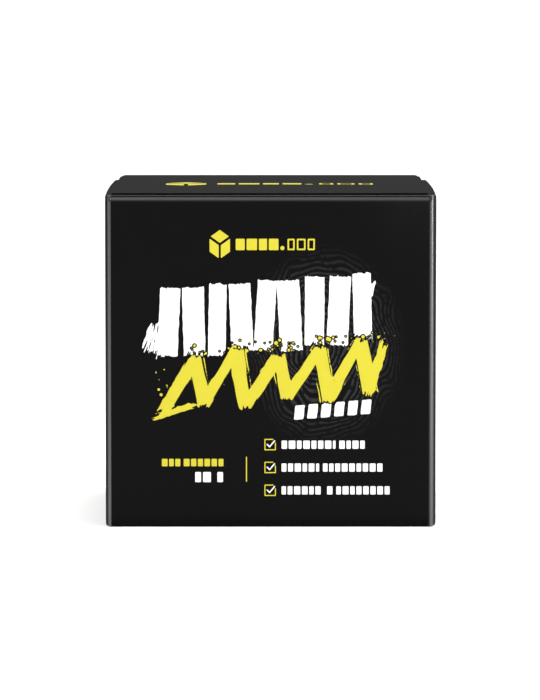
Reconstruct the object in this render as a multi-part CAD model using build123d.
"""A block of gym chalk, wrapped in tissue, in a small tuck-end carton.

Millimetres. +Z is up, the front faces -Y and +X is to the right of the front. The origin is the
middle of the base. The carton is one creased sheet of board, drawn as one solid for each panel
between the creases. The lid hangs on the back panel and the base hangs on the front panel, so the
base closure is the top closure turned over.
"""
import math
import os

from build123d import *

# Carton, measured outside.
width = 54.4
depth = 56.0
height = 55.1
board = 0.5  # thickness of the carton board
edge_drop = 0.3  # from the lid's face down to the front panel's cut edge
corner_radius = 0.8  # outer radius of the upright folds
crease_gap = 0.32  # from a crease's axis to the board on each side of it
half_board = board / 2

# Lid and its tuck flap. The lid is cut narrower than the carton and sits a little to the left.
lid_width = 52.1
lid_shift = -0.1
tuck_clearance = 0.2  # from the tuck flap to the inside of the front panel, at the lid
tuck_length = 11.0
tuck_lean = 7.25  # degrees that the tuck flap leans in, away from the front panel
tuck_inset = 0.9  # how much narrower the tuck flap is than the lid, on each side
tuck_round = 5.0

# Dust flaps, which lie under the lid.
layer_gap = 0.15  # between the lid and the dust flaps under it
dust_length = 20.0
dust_front_gap = 0.5  # from the tuck flap to the dust flap's front edge
dust_rear_gap = 1.0  # from the lid's crease to the dust flap, at the side panel
dust_slant = 0.42  # how fast the rear edge falls away from the lid's crease
dust_tip = (6.0, 4.2)  # cut off the front corner: across the flap and along the tip
dust_round = 1.6

# Glued seam at the right rear corner: the flap is inside the right side panel.
seam_gap = 0.1  # thickness of the glue
glue_flap_length = 12.0
glue_flap_taper = 3.0
glue_margin = 1.5
raw_edge_setback = 0.3  # from the back's outer face to the right side panel's cut edge

# Chalk block and its wrap.
block_side = 50.0
block_round = 1.2
wrap = 0.15  # thickness of a layer of tissue, drawn thicker than the real sheet
wrap_gap = 0.05
wrap_clearance = 0.1  # from the wrap to the base's dust flaps
fold_length = 17.0  # side folds
fold_overlap = 4.0  # how far the front and rear folds pass the middle
fold_tip = 14.0  # width of a fold's free edge
sticker_radius = 8.0
sticker_thickness = 0.08

# Places worked out from the above.
crease_y = depth / 2 - half_board  # lid's crease
crease_z = height - half_board
front_inside = -depth / 2 + board
tuck_y = front_inside + tuck_clearance + half_board
flap_z = height - board - layer_gap - half_board  # dust flaps' mid-plane
flap_crease_x = width / 2 - half_board
side_top = flap_z - crease_gap
layer = wrap + wrap_gap
block_bottom = height - flap_z + half_board + wrap_clearance + 3 * layer
block_top = block_bottom + block_side
seam_x = width / 2 - board - seam_gap  # glue flap's outer face


def turned_over(shape):
    """A piece of the top closure, turned over to become the same piece of the base."""
    return Pos(0, 0, height) * Rot(180, 0, 0) * shape


def mirrored(shape):
    """A piece of the left side as the same piece of the right side."""
    return mirror(shape, Plane.YZ)


def plate(outline, low, high):
    """The solid that a flat outline in X and Y makes between two heights."""
    return Pos(0, 0, low) * extrude(outline, amount=high - low)


def ring(right):
    """Plan of the folded board: a rounded frame whose right side has its outer face at right."""
    across = right + width / 2
    middle = Pos((right - width / 2) / 2, 0)
    outer = RectangleRounded(across, depth, corner_radius)
    inner = RectangleRounded(across - 2 * board, depth - 2 * board, corner_radius - board)
    return middle * (outer - inner)


def mitred(right, side):
    """The stretch of the ring on one side, from corner mitre to corner mitre."""
    left = -width / 2
    half = depth / 2
    reach = 2 * corner_radius
    sides = {
        "front": [(left, -half), (right, -half), (right - reach, reach - half), (left + reach, reach - half)],
        "back": [(left, half), (right, half), (right - reach, half - reach), (left + reach, half - reach)],
        "left": [(left, -half), (left, half), (left + reach, half - reach), (left + reach, reach - half)],
    }
    return ring(right) & make_face(Polyline(*sides[side], close=True))


def front_panel():
    """Reaches from the base's crease to its cut top edge, just below the lid's face."""
    return plate(mitred(width / 2, "front"), half_board + crease_gap, height - edge_drop)


def back_panel():
    """Reaches from its cut bottom edge to the lid's crease, and ends at the glue flap's fold."""
    return plate(mitred(seam_x, "back"), edge_drop, crease_z - crease_gap)


def left_side_panel():
    return plate(mitred(width / 2, "left"), height - side_top, side_top)


def right_side_panel():
    """The left side's shape up to the seam, where it ends in a straight cut edge."""
    rear = depth / 2 - raw_edge_setback
    folded = mirrored(mitred(width / 2, "left")) & Pos(width / 2, -depth / 2) * Rectangle(depth, depth)
    straight = Pos(width / 2 - half_board, rear / 2) * Rectangle(board, rear)
    return plate(folded + straight, height - side_top, side_top)


def glue_flap():
    """Tapered flap folded forward from the back panel, inside the right side panel."""
    rear = depth / 2 - corner_radius
    bend = ring(seam_x) & make_face(
        Polyline(
            (seam_x, depth / 2),
            (seam_x, rear),
            (seam_x - board, rear),
            (seam_x - 2 * corner_radius, depth / 2 - 2 * corner_radius),
            close=True,
        )
    )
    low = board + glue_flap_taper / 2
    high = height - low
    outline = make_face(
        Polyline(
            (rear, low),
            (rear, high),
            (rear - glue_flap_length, high - glue_flap_taper),
            (rear - glue_flap_length, low + glue_flap_taper),
            close=True,
        )
    )
    flat = Pos(seam_x - board, 0, 0) * extrude(Plane.YZ * outline, amount=board)
    return plate(bend, low, high) + flat


def seam_glue():
    """The glue between the flap and the right side panel."""
    rear = depth / 2 - corner_radius - glue_margin
    along = glue_flap_length - 2 * glue_margin
    low = height - side_top + glue_flap_taper + glue_margin
    tall = height - 2 * low
    return Pos(seam_x + seam_gap / 2, rear - along / 2, height / 2) * Box(seam_gap, along, tall)


def lid_panel():
    front = tuck_y + crease_gap
    rear = crease_y - crease_gap
    outline = Pos(lid_shift, (front + rear) / 2) * Rectangle(lid_width, rear - front)
    return plate(outline, height - board, height)


def lid_tuck_flap():
    """Hangs from the lid's front edge, behind the front panel, and leans in towards its tip."""
    wide = lid_width - 2 * tuck_inset
    tall = tuck_length - crease_gap
    flat = Pos(0, -crease_gap - tall / 2) * Rectangle(wide, tall)
    flat = fillet(flat.vertices().group_by(Axis.Y)[0], tuck_round)
    upright = Pos(0, half_board, 0) * extrude(Plane.XZ * flat, amount=board)
    return Pos(lid_shift, tuck_y, crease_z) * Rot(tuck_lean, 0, 0) * upright


def top_left_dust_flap():
    """Lies under the lid. Its rear edge slants so that the lid can lift before it does."""
    crease = -flap_crease_x
    start = crease + crease_gap
    tip = crease + dust_length
    front = tuck_y + half_board + dust_front_gap
    rear = crease_y - dust_rear_gap
    slanted = rear - dust_slant * dust_length
    across, along = dust_tip
    outline = make_face(
        Polyline(
            (start, front),
            (tip - across, front),
            (tip, front + along),
            (tip, slanted),
            (start, rear),
            close=True,
        )
    )
    outline = fillet(outline.vertices().group_by(Axis.X)[-1], dust_round)
    return plate(outline, flap_z - half_board, flap_z + half_board)


def chalk_block():
    block = fillet(Box(block_side, block_side, block_side).edges(), block_round)
    return Pos(0, 0, (block_bottom + block_top) / 2) * block


def wrap_sleeve():
    """The tissue round the block's four sides."""
    inner = block_side + 2 * wrap_gap
    outer = inner + 2 * wrap
    plan = RectangleRounded(outer, outer, block_round + layer) - RectangleRounded(
        inner, inner, block_round + wrap_gap
    )
    return plate(plan, block_bottom, block_top)


def wrap_fold(length, level):
    """One folded end of the tissue on top of the block, at the back, tapering to its free edge."""
    edge = block_side / 2
    outline = make_face(
        Polyline(
            (-edge + block_round, edge),
            (edge - block_round, edge),
            (fold_tip / 2, edge - length),
            (-fold_tip / 2, edge - length),
            close=True,
        )
    )
    low = block_top + wrap_gap + level * layer
    return plate(outline, low, low + wrap)


def wrap_sticker():
    """The round sticker that holds the top folds shut."""
    low = block_top + wrap_gap + 3 * layer
    return plate(Circle(sticker_radius), low, low + sticker_thickness)


def end_folds():
    """The four folds on top of the block: two side folds, then the rear fold, then the front one."""
    half = block_side / 2 + fold_overlap
    return {
        "left": Rot(0, 0, 90) * wrap_fold(fold_length, 0),
        "right": Rot(0, 0, -90) * wrap_fold(fold_length, 0),
        "rear": wrap_fold(half, 1),
        "front": Rot(0, 0, 180) * wrap_fold(half, 2),
    }


def wrap_turned_over(shape):
    """A fold of the wrap's top as the same fold of its bottom."""
    return Pos(0, 0, block_bottom + block_top) * Rot(180, 0, 0) * shape


def all_pieces():
    """Every piece, by its name."""
    left_dust = top_left_dust_flap()
    right_dust = mirrored(left_dust)
    pieces = {
        "front_panel": front_panel(),
        "back_panel": back_panel(),
        "left_side_panel": left_side_panel(),
        "right_side_panel": right_side_panel(),
        "glue_flap": glue_flap(),
        "seam_glue": seam_glue(),
        "lid_panel": lid_panel(),
        "lid_tuck_flap": lid_tuck_flap(),
        "top_left_dust_flap": left_dust,
        "top_right_dust_flap": right_dust,
        "bottom_panel": turned_over(lid_panel()),
        "bottom_tuck_flap": turned_over(lid_tuck_flap()),
        "bottom_left_dust_flap": turned_over(left_dust),
        "bottom_right_dust_flap": turned_over(right_dust),
        "chalk_block": chalk_block(),
        "wrap_sleeve": wrap_sleeve(),
        "wrap_sticker": wrap_sticker(),
    }
    for side, fold in end_folds().items():
        pieces[f"wrap_top_fold_{side}"] = fold
        pieces[f"wrap_bottom_fold_{side}"] = wrap_turned_over(fold)
    return pieces


os.makedirs("parts", exist_ok=True)
for name, piece in all_pieces().items():
    export_step(piece, f"parts/{name}.step")

print("lid crease", crease_y, crease_z)
print("tuck crease", tuck_y, crease_z)
print("dust flap crease", flap_crease_x, flap_z)
